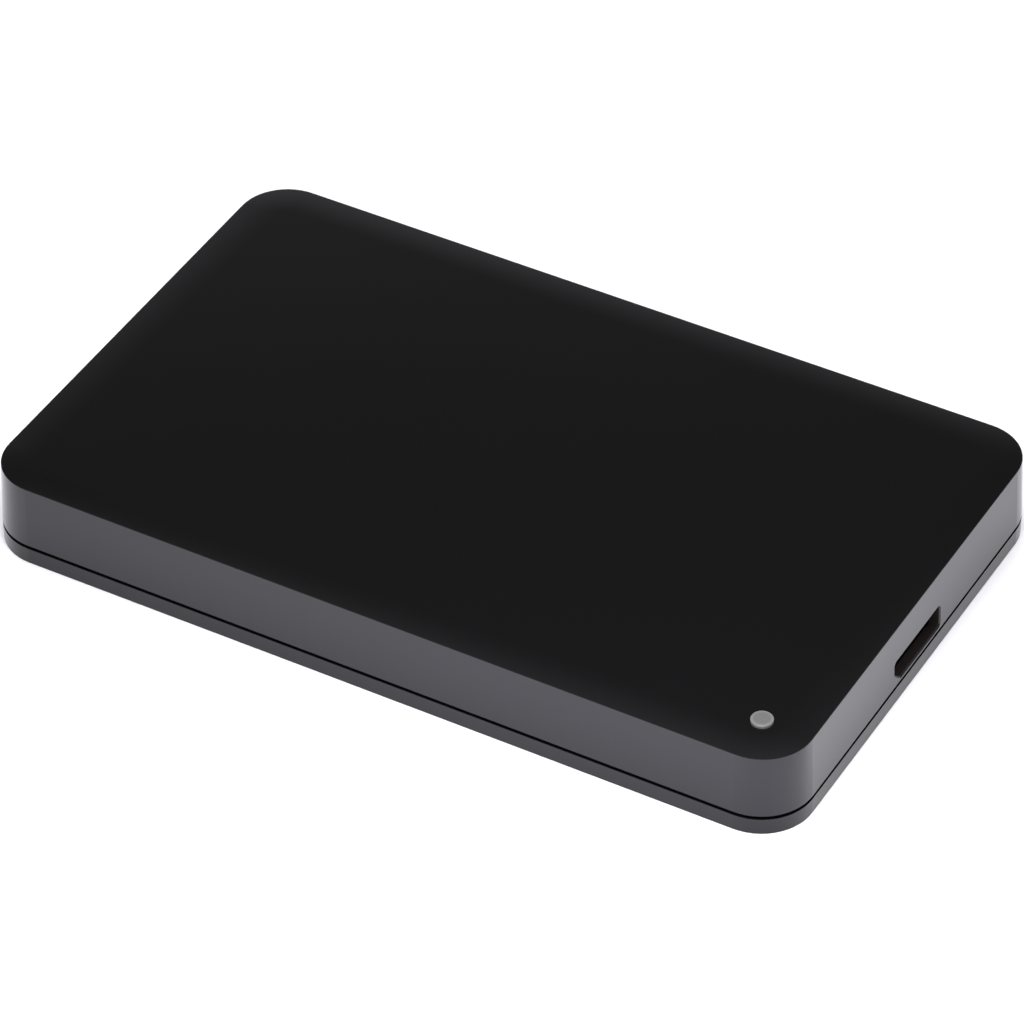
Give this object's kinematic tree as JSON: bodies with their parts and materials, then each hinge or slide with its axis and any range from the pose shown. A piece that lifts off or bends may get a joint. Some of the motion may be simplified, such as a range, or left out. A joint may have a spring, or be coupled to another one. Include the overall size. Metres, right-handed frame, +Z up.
{
  "type": "portable external hard drive",
  "caption": "Flat black moulded case with a data port and an activity light, holding a disk drive with spinning disks and a swinging head actuator.",
  "frame": {"origin": "middle of the flat underside of the case", "axes": "+X along the length and out through the data port, +Y across, +Z up through the top face; the activity light is in the +X, -Y corner"},
  "size_m": [0.1286, 0.0792, 0.0139],
  "materials": {
    "case_plastic": "satin",
    "light_pipe_plastic": "satin",
    "socket_steel": "satin",
    "connector_plastic": "satin",
    "contact_gold": "polished",
    "board_laminate": "satin",
    "chip_resin": "matte",
    "crystal_steel": "satin",
    "ferrite": "matte",
    "capacitor_ceramic": "satin",
    "diode_resin": "gloss",
    "cast_aluminium": "matte",
    "sheet_aluminium": "satin",
    "turned_aluminium": "satin",
    "platter_coating": "polished",
    "hard_steel": "satin",
    "screw_steel": "satin",
    "bearing_bronze": "satin",
    "lamination_steel": "satin",
    "yoke_nickel": "satin",
    "magnet_nickel": "satin",
    "rotor_ferrite": "matte",
    "copper_wire": "satin",
    "bumper_rubber": "matte",
    "seal_rubber": "matte",
    "foam": "matte",
    "slider_ceramic": "satin",
    "acetal_plastic": "satin",
    "polyimide_film": "gloss",
    "filter_fibre": "matte"
  },
  "bodies": {
    "case": {"upper_cover": "case_plastic", "lower_tray": "case_plastic", "light_pipe": "light_pipe_plastic", "usb_socket_shell": "socket_steel", "usb_socket_insulator": "connector_plastic", "sata_receptacle": "connector_plastic", "drive_connector": "connector_plastic", "usb_socket_contacts": "contact_gold", "sata_receptacle_contacts": "contact_gold", "drive_connector_contacts": "contact_gold", "bridge_board": "board_laminate", "drive_board": "board_laminate", "bridge_chip": "chip_resin", "firmware_chip": "chip_resin", "drive_processor": "chip_resin", "motor_driver_chip": "chip_resin", "drive_memory_chip": "chip_resin", "clock_crystal": "crystal_steel", "power_inductor": "ferrite", "board_capacitors": "capacitor_ceramic", "activity_led": "diode_resin", "drive_base": "cast_aluminium", "drive_cover": "sheet_aluminium", "pivot_post": "hard_steel", "pivot_bearings": "hard_steel", "cover_screws": "screw_steel", "board_screws": "screw_steel", "bearing_sleeve": "bearing_bronze", "stator_core": "lamination_steel", "lower_yoke": "yoke_nickel", "upper_yoke": "yoke_nickel", "lower_voice_magnet": "magnet_nickel", "upper_voice_magnet": "magnet_nickel", "stator_coils": "copper_wire", "shock_bumper_1": "bumper_rubber", "shock_bumper_2": "bumper_rubber", "shock_bumper_3": "bumper_rubber", "shock_bumper_4": "bumper_rubber", "crash_stops": "bumper_rubber", "cover_gasket": "seal_rubber", "foam_pads_bottom": "foam", "foam_pads_top": "foam", "load_ramp": "acetal_plastic", "flex_bracket": "acetal_plastic", "flex_cable": "polyimide_film", "recirculation_filter": "filter_fibre"},
    "disk_pack": {"spindle_shaft": "hard_steel", "spindle_hub": "turned_aluminium", "rotor_magnet": "rotor_ferrite", "lower_platter": "platter_coating", "platter_spacer": "turned_aluminium", "upper_platter": "platter_coating", "disk_clamp": "hard_steel", "clamp_screw": "screw_steel"},
    "head_actuator": {"actuator_body": "turned_aluminium", "voice_coil": "copper_wire", "pivot_sleeve": "hard_steel", "load_beams": "hard_steel", "head_sliders": "slider_ceramic"}
  },
  "joints": [
    {"name": "disk_spin", "type": "hinge", "parent": "case", "child": "disk_pack", "pos_m": [-0.02563, 0, 0.0065], "axis": [0, 0, 1], "continuous": true},
    {"name": "actuator_swing", "type": "hinge", "parent": "case", "child": "head_actuator", "pos_m": [0.01157, -0.0105, 0.0065], "axis": [0, 0, 1], "range_deg": [0, 37], "deforming": ["flex_cable"]}
  ]
}
